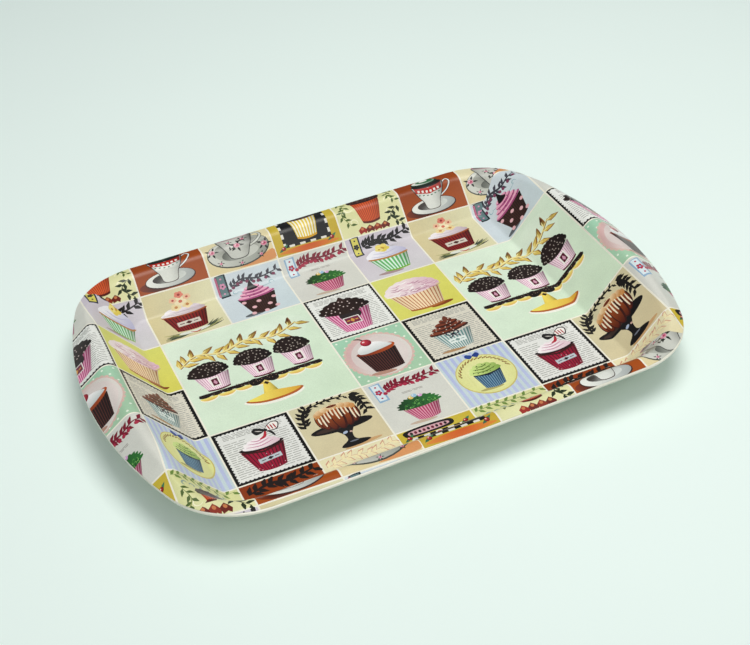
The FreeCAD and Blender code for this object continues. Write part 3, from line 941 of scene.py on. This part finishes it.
def dotted_panel():
    """A dark case with white icing and a cherry on a pink scalloped plate, on dotted green."""
    art = Art(fade("a4d2b4", "a8ccab", (0.2, 0), (0.7, 1)))
    for row in range(8):
        for column in range(7):
            x, y = (column + 0.4 + 0.5 * (row % 2)) / 7, (row + 0.5) / 8
            if 0.04 < x < 0.96:
                art.ellipse(x, y, 0.017, 0.017, "e6f3e0", steps=8)
    for index in range(34):
        angle = 2 * math.pi * index / 34
        x, y = 0.47 + 0.42 * math.cos(angle), 0.5 + 0.42 * math.sin(angle)
        art.ellipse(x, y, 0.045, 0.045, "d9b9ae", steps=8)
    art.ellipse(0.47, 0.5, 0.425, 0.425, fade("d6b0ad", "dcd6cf", (0.08, 0.35), (0.45, 0.55)), steps=36)
    art.ellipse(0.48, 0.5, 0.37, 0.37, glow("e6e0da", "dccfca", (0.55, 0.5), 0.4), steps=30)
    art.ellipse(0.38, 0.87, 0.17, 0.035, "b98f7d", turn=6)
    case(art, (0.2, 0.73, 0.42), (0.29, 0.69, 0.82), "1a0a0b", "66362f", count=14, fill=0.3)
    art.blob([(0.19, 0.41), (0.3, 0.46), (0.48, 0.48), (0.66, 0.45), (0.74, 0.39), (0.72, 0.34), (0.6, 0.32),
              (0.3, 0.36)], fade("7c2c14", "b4501f", (0.25, 0.4), (0.75, 0.35)))
    art.blob([(0.24, 0.4), (0.25, 0.32), (0.33, 0.25), (0.44, 0.22), (0.56, 0.25), (0.66, 0.32), (0.71, 0.37),
              (0.6, 0.4), (0.46, 0.42), (0.33, 0.43)], fade("fdfcfa", "c5cdcb", (0.4, 0.24), (0.42, 0.44)))
    art.stroke([(0.41, 0.18), (0.36, 0.11), (0.29, 0.08)], 0.024, "3a1a17", taper=0.5)
    art.ellipse(0.41, 0.21, 0.075, 0.07, glow("d8414f", "7d0f22", (0.39, 0.19), 0.09), turn=-8)
    art.ellipse(0.385, 0.185, 0.02, 0.014, "f8d7d6", steps=8)
    return art


def striped_panel():
    """A steel-blue case with lime icing on a yellow plate, on blue and lilac stripes."""
    art = Art("c8d8dc")
    stripes, across = 11, 0.96
    for index in range(stripes):
        x = 0.02 + (index + 0.25) * across / stripes
        lilac = fade("b3bde2", "bcc6e4", (x, 0), (x, 1))
        art.box(x, GRID_LINE, x + 0.5 * across / stripes, 1 - GRID_LINE, lilac)
    art.ellipse(0.5, 0.49, 0.39, 0.39, "cbbd6c", steps=36)
    art.ellipse(0.5, 0.485, 0.375, 0.375, glow("eef0b4", "dfe094", (0.5, 0.5), 0.4), steps=36)
    for index in range(17):
        angle = math.radians(192 + 9.7 * index)
        x, y = 0.5 + 0.32 * math.cos(angle), 0.49 + 0.32 * math.sin(angle)
        leaf(art, x, y, 0.07, angle + 1.1, "a3854a")
        art.ellipse(x, y, 0.013, 0.013, "7d5a35", steps=6)
    art.blob([(0.5, 0.09), (0.43, 0.04), (0.4, 0.09), (0.45, 0.14)], "27468f")
    art.blob([(0.5, 0.09), (0.57, 0.04), (0.6, 0.09), (0.55, 0.14)], "1f3c85")
    art.ellipse(0.44, 0.77, 0.16, 0.025, "b0a768", turn=2)
    case(art, (0.33, 0.71, 0.46), (0.37, 0.65, 0.74), "2d5878", "7fa2b8", count=11, fill=0.35)
    art.shape([(0.33, 0.44), (0.52, 0.49), (0.71, 0.44), (0.705, 0.48), (0.52, 0.53), (0.335, 0.48)],
              "141f33")
    icing = fade("d6ea92", "84a848", (0.35, 0.32), (0.7, 0.5))
    dome(art, 0.31, 0.72, 0.45, (0.5, 0.28), icing, lumps=7, rough=0.08, seed=18)
    waves(art, 0.51, ((0.42, 0.16), (0.37, 0.13), (0.32, 0.08)), 0.018, "56741f")
    dots(art, 0.33, 0.7, 0.46, (0.5, 0.28), 14, 0.011, "2c3a18", 19)
    return art


def black_stand(art):
    """A plate on a turned foot with dull highlights."""
    art.ellipse(0.5, 0.56, 0.4, 0.085, "0c0a0a", turn=1, steps=28)
    art.ellipse(0.42, 0.555, 0.26, 0.04, "3a2a22", turn=-1)
    art.blob([(0.4, 0.62), (0.5, 0.6), (0.62, 0.62), (0.57, 0.72), (0.56, 0.82), (0.6, 0.88), (0.42, 0.88),
              (0.47, 0.82), (0.46, 0.72)], "121012")
    art.blob([(0.35, 0.92), (0.44, 0.86), (0.6, 0.86), (0.73, 0.91), (0.62, 0.95), (0.42, 0.955)], "0d0b0b")
    art.ellipse(0.49, 0.69, 0.035, 0.022, "aab8cf", turn=-20, steps=10)
    art.ellipse(0.56, 0.7, 0.02, 0.015, "c9a79a", turn=20, steps=8)
    art.ellipse(0.53, 0.87, 0.06, 0.012, "6f7480", steps=10)


def ring_cake(art):
    """A ring cake of seven ribs, the outer ones first, with glaze over their tops."""
    ribs = []
    for index in (0, 6, 1, 5, 2, 4, 3):
        share = (index - 3) / 3
        ribs.append((0.52 + 0.23 * math.sin(share * 1.3), 0.05 + 0.036 * math.cos(share * 1.2),
                     0.25 - 0.1 * abs(share) ** 1.5))
    art.ellipse(0.52, 0.37, 0.27, 0.2, "35100a", steps=28)
    for x, wide, high in ribs:
        art.ellipse(x, 0.37, wide, high, "3a0f08", steps=18)
        crust = fade("a8511d", "50180a", (x, 0.2), (x, 0.58))
        art.ellipse(x - wide * 0.1, 0.365, wide * 0.74, high * 0.94, crust, steps=16)
    art.blob([(0.26, 0.31), (0.3, 0.23), (0.4, 0.16), (0.52, 0.15), (0.64, 0.16), (0.74, 0.23), (0.78, 0.31),
              (0.68, 0.27), (0.52, 0.23), (0.36, 0.27)], fade("e0b070", "b96f34", (0.3, 0.2), (0.8, 0.3)))
    for x, wide, high in ribs:
        glaze = fade("f4e0b4", "c88a4c", (x - 0.03, 0.14), (x + 0.04, 0.24))
        art.ellipse(x, 0.37 - high * 0.76, wide * 0.82, 0.052, glaze, steps=12)
    art.ellipse(0.52, 0.165, 0.07, 0.022, "6a2a12", steps=12)


def bundt_panel():
    """A glazed ring cake on a black stand, on khaki."""
    art = Art(fade("d6cfaa", "d6c8a0", (0.1, 0), (0.8, 1)))
    art.ellipse(0.62, 0.95, 0.25, 0.03, "c9a070", turn=-4)
    for line, count, size, width in (([(0.09, 0.42), (0.13, 0.2), (0.22, 0.06)], 12, 0.125, 0.045),
                                     ([(0.8, 0.05), (0.87, 0.18), (0.9, 0.42)], 12, 0.125, 0.045),
                                     ([(0.28, 0.07), (0.5, 0.035), (0.74, 0.06)], 10, 0.08, 0.03)):
        garland(art, line, "0f0c0a", "14100d", count, size, width)
    black_stand(art)
    ring_cake(art)
    for index in range(11):
        x = 0.29 + 0.047 * index
        top = 0.31 - 0.1 * math.sin(math.pi * index / 10)
        length = 0.12 + 0.1 * ((index * 7) % 4) / 3
        art.stroke([(x, top), (x - 0.004, top + length / 2), (x, top + length)], 0.022, "f4e6c8", taper=0.5)
    return art


def golden_vine(art):
    """A leafy vine in three layers, from its dark edge to its shine."""
    vine = [(0.08, 0.6), (0.34, 0.43), (0.68, 0.52), (1.02, 0.41), (1.38, 0.5), (1.76, 0.34)]
    tips = fade("4a1c10", "dcbf5e", (0, 0.28), (0, 0.44))
    for shift, paint, size, fat in ((0.009, "8a5a2c", 0.215, 0.4), (0.0, tips, 0.2, 0.34),
                                    (-0.004, "f0e39c", 0.11, 0.2)):
        garland(art, [(x + shift, y + shift) for x, y in vine], paint, paint, 26, size, 0.03, fat=fat)


def cake_stand(art):
    """A black plate with lace below it and a bow, on a yellow foot."""
    for index in range(7):
        x = 0.235 + 0.234 * index
        lace = fade("f2e684", "e3ae4c", (x, 1.3), (x, 1.37))
        art.ellipse(x, 1.31, 0.122, 0.085, "f6f5df", steps=14, sweep=180)
        art.ellipse(x, 1.3, 0.118, 0.068, lace, steps=14, sweep=180)
    art.box(0.12, 1.23, 1.755, 1.285, "1c0f0d")
    for index in range(11):
        art.ellipse(0.195 + 0.15 * index, 1.27, 0.084, 0.036, "1c0f0d", steps=12)
    for side in (-1, 1):
        loop = ((0.0, 1.29), (0.1, 1.22), (0.19, 1.25), (0.18, 1.34), (0.09, 1.36))
        art.blob([(0.97 + side * across, y) for across, y in loop], "140a08")
    dots(art, 0.14, 1.78, 1.3, (0.97, 1.2), 40, 0.009, "8f7662", 25)
    art.shape([(0.93, 1.36), (0.97, 1.33), (1.02, 1.37), (1.07, 1.57), (0.97, 1.6), (0.87, 1.56)],
              rounded("eed45c", 0.96, 0.1))
    art.shape([(0.94, 1.36), (0.97, 1.33), (1.01, 1.37), (0.975, 1.4)], "2a1710")
    art.blob([(0.58, 1.63), (0.75, 1.59), (0.97, 1.55), (1.2, 1.58), (1.37, 1.65), (1.28, 1.74), (1.0, 1.78),
              (0.75, 1.74)], "f6f5e8")
    art.blob([(0.61, 1.62), (0.75, 1.58), (0.97, 1.54), (1.2, 1.58), (1.37, 1.63), (1.25, 1.71), (1.0, 1.735),
              (0.77, 1.705)], "b4612a")
    art.blob([(0.64, 1.61), (0.77, 1.575), (0.97, 1.54), (1.18, 1.575), (1.34, 1.625), (1.2, 1.68),
              (1.0, 1.695), (0.8, 1.675)], fade("f2e064", "dda638", (0.75, 1.6), (1.33, 1.66)))


def stand_cake(art, left, right, top, seed):
    """A pink case with a framed tile, under dark icing with crumbs."""
    wide = right - left
    case(art, (left + 0.12 * wide, right - 0.03 * wide, 0.88), (left + 0.29 * wide, right - 0.17 * wide, 1.2),
         "fae0ea", "b0608a", count=13, fill=0.2, sag=0.03, depth=0.55, foot="560f26")
    x = left + wide * 0.54
    art.shape([(x - 0.07, 0.96), (x + 0.065, 0.95), (x + 0.06, 1.14), (x - 0.065, 1.14)], "f4efe9")
    art.shape([(x - 0.042, 0.985), (x + 0.042, 0.975), (x + 0.04, 1.115), (x - 0.04, 1.12)], "550f28")
    leaf(art, x, 1.1, 0.1, -math.pi / 2, "d39bb2", 0.5)
    icing = rounded("1f110e", (left + right) / 2, wide / 2)
    dome(art, left, right, 0.85, top, icing, lumps=12, sag=0.08, seed=seed)
    dots(art, left, right, 0.89, top, 27, 0.012, "b8aca2", seed + 4)


def stand_panel():
    """Four panels in one: a golden vine over three sprinkled cakes on a yellow stand, on mint."""
    art = Art(fade("dfefdb", "d4e9cd", (0.2, 0.1), (1.8, 1.9)), 2, 2)
    art.blob([(0.9, 0.1), (1.5, 0.08), (1.9, 0.3), (1.7, 0.7), (1.2, 0.6)],
             glow("e4f2df", "dbedd6", (1.4, 0.35), 0.5))
    golden_vine(art)
    cake_stand(art)
    stand_cake(art, 0.11, 0.65, (0.42, 0.63), seed=26)
    stand_cake(art, 0.73, 1.24, (0.98, 0.62), seed=27)
    stand_cake(art, 1.28, 1.77, (1.5, 0.61), seed=28)
    return art


# The pattern repeats after four columns and five rows. A panel stands at its upper left,
# and the mint panel takes the place of four.
PATTERN = [
    [muffin_panel, coffee_panel, teacup_panel, checker_panel],
    [lilac_panel, plate_panel, spotted_panel, grass_panel],
    [lemon_panel, stand_panel, None, sprinkle_stamp],
    [bow_stamp, None, None, dotted_panel],
    [striped_panel, ribbon_stamp, bundt_panel, grass_panel],
]
FIRST_COLUMN, LAST_COLUMN, FIRST_ROW, LAST_ROW = -1, 7, 0, 6


def panel_places():
    """Every panel of the sheet with its column and row."""
    for row in range(FIRST_ROW, LAST_ROW + 1):
        for column in range(FIRST_COLUMN, LAST_COLUMN + 1):
            draw = PATTERN[row % 5][column % 4]
            if draw:
                yield column, row, draw


# ------------------------------------------------------------------ cutting the sheet

LATTICE = 8                              # plain points across a panel, besides its drawing's
CUT_SLACK = 0.001                        # millimetres within which points become one
COLUMN_BLOCKS = ((-1, 0), (1, 2), (3, 4), (5, 7))
ROW_BLOCKS = ((0, 1), (2, 3), (4, 6))


def add_object(name, places, faces):
    mesh = bpy.data.meshes.new(name)
    mesh.from_pydata(places, [], faces)
    added = bpy.data.objects.new(name, mesh)
    bpy.context.collection.objects.link(added)
    return added


class Block:
    """A piece of the print, gathered panel by panel."""

    def __init__(self, name):
        self.name = name
        self.places, self.normals, self.triangles, self.shades = [], [], [], []

    def make(self):
        """The block as an object, with its colours in the attribute that its material reads."""
        piece = add_object(self.name, self.places, self.triangles)
        mesh = piece.data
        mesh.polygons.foreach_set("use_smooth", [True] * len(self.triangles))
        mesh.normals_split_custom_set_from_vertices(self.normals)
        attribute = mesh.color_attributes.new("print", "FLOAT_COLOR", "CORNER")
        attribute.data.foreach_set("color", [share for shade in self.shades for share in (*shade, 1.0)])
        return piece


def anticlockwise(outline):
    area = sum(a.x * b.y - b.x * a.y for a, b in zip(outline, outline[1:] + outline[:1]))
    return outline if area > 0 else outline[::-1]


def surrounds(outline, point):
    """Whether a closed outline goes round a point."""
    inside = False
    for a, b in zip(outline, outline[1:] + outline[:1]):
        if (a.y > point.y) != (b.y > point.y):
            if point.x < a.x + (b.x - a.x) * (point.y - a.y) / (b.y - a.y):
                inside = not inside
    return inside


def meets(start, stop, low, high):
    """Whether the box round a segment meets the box from low to high."""
    return (min(start.x, stop.x) < high.x and max(start.x, stop.x) > low.x
            and min(start.y, stop.y) < high.y and max(start.y, stop.y) > low.y)


def curves_near(ground):
    """The bits of the tray's curves that run over a panel."""
    low = Vector((min(p.x for p in ground), min(p.y for p in ground)))
    high = Vector((max(p.x for p in ground), max(p.y for p in ground)))
    return [(start, stop) for line in CURVE_LINES for start, stop in zip(line, line[1:])
            if meets(start, stop, low, high)]


def divide(art, outlines, column, row):
    """Split a panel into triangles along its outlines, the tray's curves and a plain lattice."""
    points, edges, faces = [], [], []
    for outline in outlines:
        faces.append(list(range(len(points), len(points) + len(outline))))
        points += outline
    for start, stop in curves_near(outlines[0]):
        edges.append((len(points), len(points) + 1))
        points += [start.xy, stop.xy]
    for down in range(1, LATTICE * art.rows):
        for across in range(1, LATTICE * art.columns):
            points.append(to_sheet(column + across / LATTICE, row + down / LATTICE))
    spots, _, triangles, _, _, owners = delaunay_2d_cdt(points, edges, faces, 0, CUT_SLACK)
    return spots, [(triangle, owner) for triangle, owner in zip(triangles, owners) if 0 in owner]


def cut(art, column, row, block):
    """Cut a panel along its drawing and along the tray's curves, and lay it on the tray."""
    outlines = [anticlockwise([to_sheet(column + x, row + y) for x, y in outline])
                for outline, _ in art.shapes]
    spots, triangles = divide(art, outlines, column, row)
    laid = {}
    for triangle, owner in triangles:
        middle = sum((spots[corner] for corner in triangle), Vector((0, 0))) / 3
        region = next((r for r in REGIONS if r.holds(middle.to_3d())), None)
        if region is None:
            continue
        covers = (shape for shape in sorted(owner, reverse=True) if surrounds(outlines[shape], middle))
        paint = art.shapes[next(covers, 0)][1]
        for corner in triangle:
            if (corner, region) not in laid:
                laid[corner, region] = len(block.places)
                place, normal = region.carry(spots[corner].to_3d())
                block.places.append(on_tray(place))
                block.normals.append(normal)
            across, down = from_sheet(spots[corner])
            block.shades.append(paint(across - column, down - row))
        block.triangles.append([laid[corner, region] for corner in triangle])


def print_blocks():
    """The whole print, cut into blocks of a few panels each."""
    blocks = {}
    for column, row, draw in panel_places():
        across = next(i for i, (first, last) in enumerate(COLUMN_BLOCKS) if first <= column <= last)
        down = next(i for i, (first, last) in enumerate(ROW_BLOCKS) if first <= row <= last)
        block = blocks.setdefault((across, down), Block(f"print_block_{across + 1}_{down + 1}"))
        cut(draw(), column, row, block)
    return [block.make() for block in blocks.values()]


def foil_edge():
    """The foil's thin edge all round, from its upper face down to the moulding."""
    upper, lower = RING, surface(0.0)
    count = len(upper)
    places = [on_tray(line[-1]) for line in upper + lower]
    faces = [(i, (i + 1) % count, count + (i + 1) % count, count + i) for i in range(count)]
    return add_object("print_edge", places, faces)


# ------------------------------------------------------------------------- materials

NOISE_LOW, NOISE_HIGH = 0.3, 0.7         # nearly all of a noise pattern lies between them


class Nodes:
    """A short way to build a material from nodes round one glossy shader."""

    def __init__(self, name):
        self.material = bpy.data.materials.new(name)
        self.material.use_nodes = True
        self.tree = self.material.node_tree
        self.shader = self.tree.nodes["Principled BSDF"]

    def add(self, kind, **settings):
        node = self.tree.nodes.new(kind)
        for name, value in settings.items():
            setattr(node, name, value)
        return node

    def join(self, start, stop):
        self.tree.links.new(start, stop)

    def noise(self, scale, detail=3.0):
        """A noise pattern in the object's own coordinates, in cycles per metre."""
        texture = self.add("ShaderNodeTexNoise")
        texture.inputs["Scale"].default_value = scale
        texture.inputs["Detail"].default_value = detail
        self.join(self.add("ShaderNodeTexCoord").outputs["Object"], texture.inputs["Vector"])
        return texture.outputs["Fac"]

    def spread(self, source, low, high):
        """A value from low to high that follows a pattern."""
        ranges = self.add("ShaderNodeMapRange")
        ranges.inputs["From Min"].default_value = NOISE_LOW
        ranges.inputs["From Max"].default_value = NOISE_HIGH
        ranges.inputs["To Min"].default_value = low
        ranges.inputs["To Max"].default_value = high
        self.join(source, ranges.inputs["Value"])
        return ranges.outputs["Result"]

    def tint(self, base, source, amount):
        """A colour made darker or lighter by a pattern, by up to the amount."""
        scale = self.add("ShaderNodeVectorMath", operation="SCALE")
        self.join(base, scale.inputs[0])
        self.join(self.spread(source, 1 - amount, 1 + amount), scale.inputs["Scale"])
        return scale.outputs["Vector"]

    def mottle(self, code, scale, amount):
        """A base colour that varies a little in patches."""
        base = self.add("ShaderNodeRGB")
        base.outputs["Color"].default_value = (*colour(code), 1.0)
        tinted = self.tint(base.outputs["Color"], self.noise(scale), amount)
        self.join(tinted, self.shader.inputs["Base Color"])

    def bump(self, source, depth):
        """Fine relief of the given depth in metres."""
        bump = self.add("ShaderNodeBump")
        bump.inputs["Strength"].default_value = 0.5
        bump.inputs["Distance"].default_value = depth
        self.join(source, bump.inputs["Height"])
        self.join(bump.outputs["Normal"], self.shader.inputs["Normal"])

    def gloss(self, roughness, coat):
        """A glossy surface with slightly uneven roughness under a thin clear coat."""
        rough = self.spread(self.noise(35.0), roughness * 0.85, roughness * 1.15)
        self.join(rough, self.shader.inputs["Roughness"])
        self.shader.inputs["Specular IOR Level"].default_value = 0.35
        self.shader.inputs["Coat Weight"].default_value = coat
        self.shader.inputs["Coat Roughness"].default_value = 0.2


def print_material():
    """Glossy printed foil under a clear melamine glaze."""
    nodes = Nodes("printed_foil")
    drawn = nodes.add("ShaderNodeVertexColor", layer_name="print").outputs["Color"]
    toned = nodes.tint(drawn, nodes.noise(60.0), 0.035)
    grained = nodes.tint(toned, nodes.noise(1400.0, 2.0), 0.05)
    nodes.join(grained, nodes.shader.inputs["Base Color"])
    nodes.gloss(roughness=0.34, coat=0.08)
    nodes.bump(nodes.noise(90.0, 1.0), 0.00004)
    return nodes.material


def melamine_material(name, code):
    """Ivory melamine, faintly mottled."""
    nodes = Nodes(name)
    nodes.mottle(code, 25.0, 0.025)
    nodes.gloss(roughness=0.3, coat=0.2)
    nodes.bump(nodes.noise(110.0, 1.0), 0.00003)
    return nodes.material


def dress(piece, material):
    piece.data.materials.clear()
    piece.data.materials.append(material)


# ----------------------------------------------------------------- putting it together

body = bpy.data.objects["tray_body"]
dress(body, melamine_material("melamine", "f1efe0"))

pieces = print_blocks() + [foil_edge()]
printed = print_material()
for piece in pieces[:-1]:
    dress(piece, printed)
dress(pieces[-1], melamine_material("foil_edge", "ece9da"))
for piece in pieces:
    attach(piece, "root")
    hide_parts("printed_foil")


# ------------------------------------------------------------ floor, lights and camera

FLOOR_REACH = 4.0
KEY_PLACE, KEY_SIZE, KEY_POWER = Vector((0.19, -0.09, 1.5)), 0.97, 13.3
SKY_LEAN = Vector((-0.1, -0.2, 0.97)).normalized()       # where the sky is brightest
SKY_DIM, SKY_BRIGHT = 0.18, 0.86                         # its strength 60 degrees off, and there
VIEW_PLACE = Vector((-0.3265, -0.7573, 0.6600))
VIEW_RIGHT, VIEW_AHEAD = Vector((0.9000, -0.4331, -0.0513)), Vector((0.3151, 0.7270, -0.6103))
SENSOR_WIDTH, FOCAL_LENGTH = 36.0, 64.72                 # millimetres


def studio_floor():
    corners = ((-1, -1), (1, -1), (1, 1), (-1, 1))
    plane = add_object("studio_floor", [(x * FLOOR_REACH, y * FLOOR_REACH, 0) for x, y in corners],
                       [(0, 1, 2, 3)])
    nodes = Nodes("studio_floor")
    nodes.mottle("edfbf6", 2.0, 0.01)
    nodes.shader.inputs["Roughness"].default_value = 0.9
    nodes.shader.inputs["Specular IOR Level"].default_value = 0.1
    plane.data.materials.append(nodes.material)
    return plane


def key_lamp():
    """A round soft box above the tray, which faces its middle."""
    light = bpy.data.lights.new("key", "AREA")
    light.shape = "DISK"
    light.size = KEY_SIZE
    light.energy = KEY_POWER
    light.color = colour("fffdf8")
    lamp = bpy.data.objects.new("key", light)
    lamp.location = KEY_PLACE
    lamp.rotation_euler = (-KEY_PLACE).to_track_quat("-Z", "Y").to_euler()
    bpy.context.collection.objects.link(lamp)
    return lamp


def studio_camera():
    """The photograph's view: slightly turned to the left front and a little tilted."""
    camera = bpy.data.cameras.new("camera")
    camera.sensor_width = SENSOR_WIDTH
    camera.lens = FOCAL_LENGTH
    viewer = bpy.data.objects.new("camera", camera)
    above = VIEW_RIGHT.cross(VIEW_AHEAD).normalized()
    turned = Matrix((VIEW_RIGHT, above, -VIEW_AHEAD)).transposed().to_4x4()
    viewer.matrix_world = Matrix.Translation(VIEW_PLACE) @ turned
    bpy.context.collection.objects.link(viewer)
    bpy.context.scene.camera = viewer
    return viewer


def studio_sky():
    """Soft light that is brightest overhead and dims towards the horizon."""
    world = bpy.data.worlds.new("studio")
    world.use_nodes = True
    tree = world.node_tree
    background = tree.nodes["Background"]
    background.inputs["Color"].default_value = (*colour("fafdff"), 1.0)
    towards = tree.nodes.new("ShaderNodeVectorMath")
    towards.operation = "DOT_PRODUCT"
    towards.inputs[1].default_value = SKY_LEAN
    ramp = tree.nodes.new("ShaderNodeMapRange")
    ramp.inputs["From Min"].default_value = 0.5
    ramp.inputs["From Max"].default_value = 1.0
    ramp.inputs["To Min"].default_value = SKY_DIM
    ramp.inputs["To Max"].default_value = SKY_BRIGHT
    tree.links.new(tree.nodes.new("ShaderNodeTexCoord").outputs["Generated"], towards.inputs[0])
    tree.links.new(towards.outputs["Value"], ramp.inputs["Value"])
    tree.links.new(ramp.outputs["Result"], background.inputs["Strength"])
    bpy.context.scene.world = world


studio_sky()
bpy.context.scene.view_settings.view_transform = "Standard"

studio_floor()
key_lamp()
studio_camera()
